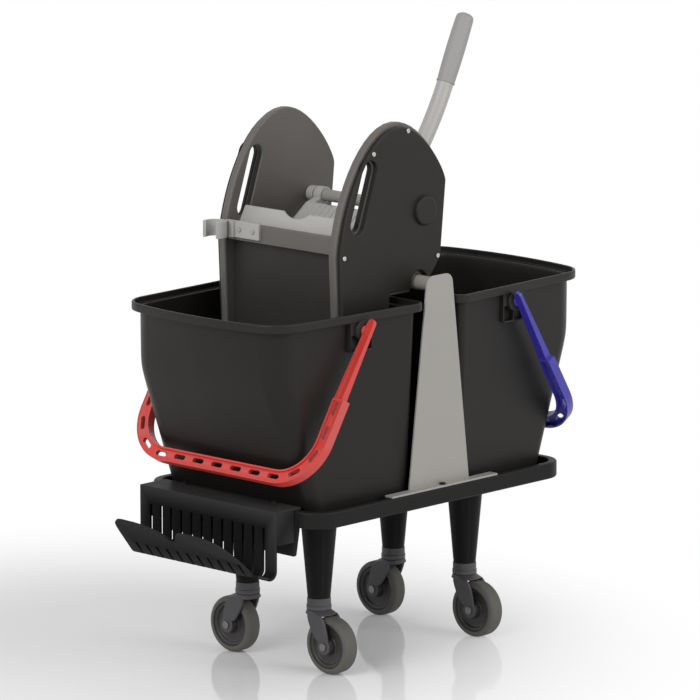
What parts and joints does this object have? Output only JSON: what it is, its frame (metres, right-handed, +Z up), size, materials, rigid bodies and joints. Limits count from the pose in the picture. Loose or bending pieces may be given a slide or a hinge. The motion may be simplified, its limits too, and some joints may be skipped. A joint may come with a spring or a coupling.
{
  "type": "double mop bucket trolley",
  "caption": "Castor trolley with a tray, paired mop buckets with swing handles, a lever press wringer hung on a cross bar and a slotted tool rack.",
  "frame": {"origin": "on the floor, under the middle of the trolley's overall box", "axes": "+Z up, -X to the end with the rack and the wringer's bucket, -Y to the side with the lever"},
  "size_m": [0.6826, 0.361, 0.8973],
  "materials": {
    "black_plastic": "fine-grained moulded black",
    "dark_plastic": "fine-grained moulded dark grey",
    "rack_sheet": "satin black",
    "grey_frame": "satin light grey powder coat",
    "light_plastic": "satin light grey",
    "grip_plastic": "satin grey",
    "castor_plastic": "satin grey",
    "hub_plastic": "satin dark grey",
    "tyre_rubber": "grey rubber",
    "red_plastic": "satin red",
    "blue_plastic": "satin blue",
    "steel": "bright zinc"
  },
  "bodies": {
    "trolley": {"tray": "black_plastic", "leg_bolts": "steel", "leg_front_right": "dark_plastic", "leg_front_left": "dark_plastic", "leg_rear_right": "dark_plastic", "leg_rear_left": "dark_plastic", "castor_collar_front_right": "castor_plastic", "castor_collar_front_left": "castor_plastic", "castor_collar_rear_right": "castor_plastic", "castor_collar_rear_left": "castor_plastic", "upright_right": "grey_frame", "upright_left": "grey_frame", "upright_screws": "steel", "cross_bar": "grey_frame", "rack": "rack_sheet", "rack_screws": "steel"},
    "castor_front_right": {"castor_fork_front_right": "castor_plastic", "axle_front_right": "steel"},
    "wheel_front_right": {"wheel_hub_front_right": "hub_plastic", "tyre_front_right": "tyre_rubber"},
    "castor_front_left": {"castor_fork_front_left": "castor_plastic", "axle_front_left": "steel"},
    "wheel_front_left": {"wheel_hub_front_left": "hub_plastic", "tyre_front_left": "tyre_rubber"},
    "castor_rear_right": {"castor_fork_rear_right": "castor_plastic", "axle_rear_right": "steel"},
    "wheel_rear_right": {"wheel_hub_rear_right": "hub_plastic", "tyre_rear_right": "tyre_rubber"},
    "castor_rear_left": {"castor_fork_rear_left": "castor_plastic", "axle_rear_left": "steel"},
    "wheel_rear_left": {"wheel_hub_rear_left": "hub_plastic", "tyre_rear_left": "tyre_rubber"},
    "bucket_front": {"bucket_front": "black_plastic"},
    "bucket_rear": {"bucket_rear": "black_plastic"},
    "bail_front": {"bail_front": "red_plastic"},
    "bail_rear": {"bail_rear": "blue_plastic"},
    "wringer": {"side_plate_right": "dark_plastic", "side_plate_left": "dark_plastic", "side_cover_right": "dark_plastic", "side_cover_left": "dark_plastic", "cover_rivets_right": "steel", "cover_rivets_left": "steel", "shaft_cap_right": "dark_plastic", "shaft_cap_left": "dark_plastic", "front_rail": "dark_plastic", "front_panel": "dark_plastic", "basket_wall": "light_plastic", "basket_floor_plate": "light_plastic", "mop_clip": "light_plastic", "clip_screws": "steel"},
    "press": {"press_shaft": "light_plastic", "shaft_collars": "light_plastic", "press_plate": "light_plastic", "lever_tube": "light_plastic", "lever_grip": "grip_plastic"}
  },
  "joints": [
    {"name": "swivel_front_right", "type": "hinge", "parent": "trolley", "child": "castor_front_right", "pos_m": [-0.13982, -0.07, 0.095], "axis": [0, 0, 1], "continuous": true},
    {"name": "roll_front_right", "type": "hinge", "parent": "castor_front_right", "child": "wheel_front_right", "pos_m": [-0.13982, -0.095, 0.04], "axis": [1, 0, 0], "continuous": true},
    {"name": "swivel_front_left", "type": "hinge", "parent": "trolley", "child": "castor_front_left", "pos_m": [-0.13982, 0.07, 0.095], "axis": [0, 0, 1], "continuous": true},
    {"name": "roll_front_left", "type": "hinge", "parent": "castor_front_left", "child": "wheel_front_left", "pos_m": [-0.13982, 0.095, 0.04], "axis": [1, 0, 0], "continuous": true},
    {"name": "swivel_rear_right", "type": "hinge", "parent": "trolley", "child": "castor_rear_right", "pos_m": [0.16018, -0.07, 0.095], "axis": [0, 0, 1], "continuous": true},
    {"name": "roll_rear_right", "type": "hinge", "parent": "castor_rear_right", "child": "wheel_rear_right", "pos_m": [0.16018, -0.095, 0.04], "axis": [1, 0, 0], "continuous": true},
    {"name": "swivel_rear_left", "type": "hinge", "parent": "trolley", "child": "castor_rear_left", "pos_m": [0.16018, 0.07, 0.095], "axis": [0, 0, 1], "continuous": true},
    {"name": "roll_rear_left", "type": "hinge", "parent": "castor_rear_left", "child": "wheel_rear_left", "pos_m": [0.16018, 0.095, 0.04], "axis": [1, 0, 0], "continuous": true},
    {"name": "front_bucket_lift", "type": "slide", "parent": "trolley", "child": "bucket_front", "axis": [0, 0, 1], "range_m": [0, 0.12]},
    {"name": "rear_bucket_lift", "type": "slide", "parent": "trolley", "child": "bucket_rear", "axis": [0.5, 0, 0.866], "range_m": [0, 0.12]},
    {"name": "front_bail_swing", "type": "hinge", "parent": "bucket_front", "child": "bail_front", "pos_m": [-0.14532, 0, 0.495], "axis": [0, 1, 0], "range_deg": [0, 95]},
    {"name": "rear_bail_swing", "type": "hinge", "parent": "bucket_rear", "child": "bail_rear", "pos_m": [0.16568, 0, 0.495], "axis": [0, -1, 0], "range_deg": [0, 95]},
    {"name": "wringer_lift", "type": "slide", "parent": "bucket_front", "child": "wringer", "axis": [0, 0, 1], "range_m": [0, 0.12]},
    {"name": "press_lever", "type": "hinge", "parent": "wringer", "child": "press", "pos_m": [0.02018, 0, 0.637], "axis": [0, 1, 0], "range_deg": [0, 36], "stiffness_Nm_per_rad": 3, "springref_deg": -34.38}
  ]
}
